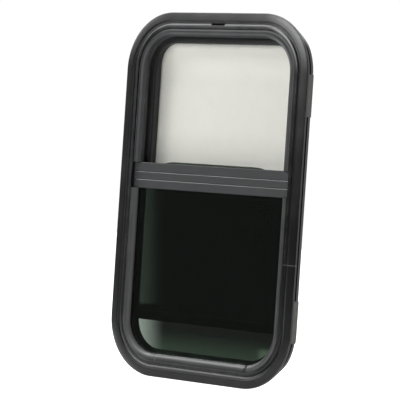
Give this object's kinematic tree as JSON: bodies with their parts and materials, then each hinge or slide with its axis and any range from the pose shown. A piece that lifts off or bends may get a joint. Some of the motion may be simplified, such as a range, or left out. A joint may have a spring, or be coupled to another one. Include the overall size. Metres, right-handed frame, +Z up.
{
  "type": "caravan window",
  "caption": "Caravan window with rounded black aluminium frame, fixed tinted lower pane, sash lowered behind it, insect screen above and clamp ring for the wall.",
  "frame": {"origin": "middle of the window in the plane of the flange's back face, where it seats on the outer wall skin", "axes": "+X to the right and +Z up as seen from outside, +Y into the caravan, so the outer face looks along -Y"},
  "size_m": [0.357, 0.0317, 0.56],
  "materials": {
    "black_frame": "black powder coat on aluminium, satin",
    "spacer_plastic": "moulded, matt",
    "tinted_glass": "toughened, tinted grey-green",
    "bead_vinyl": "extruded vinyl, satin",
    "black_rubber": "matt",
    "pile": "woven pile",
    "screen_mesh": "woven insect mesh"
  },
  "bodies": {
    "root": {"outer_frame": "black_frame", "clamp_ring": "black_frame", "cross_bar": "black_frame", "sash_rail": "black_frame", "screen_bottom_bar": "black_frame", "screen_side_left": "black_frame", "screen_side_right": "black_frame", "screen_top_bow": "black_frame", "ring_spacer_right_upper": "spacer_plastic", "ring_spacer_right_lower": "spacer_plastic", "ring_spacer_left_upper": "spacer_plastic", "ring_spacer_left_lower": "spacer_plastic", "sash_glide_left": "spacer_plastic", "sash_glide_right": "spacer_plastic", "fixed_pane": "tinted_glass", "sash_pane": "tinted_glass", "bead_left": "bead_vinyl", "bead_bottom": "bead_vinyl", "bead_right": "bead_vinyl", "rebate_trim": "bead_vinyl", "bedding_strip": "black_rubber", "bar_glazing_strip": "black_rubber", "screen_spline": "black_rubber", "track_seal_left": "pile", "track_seal_right": "pile", "bar_seal": "pile", "screen_mesh": "screen_mesh"}
  },
  "joints": []
}
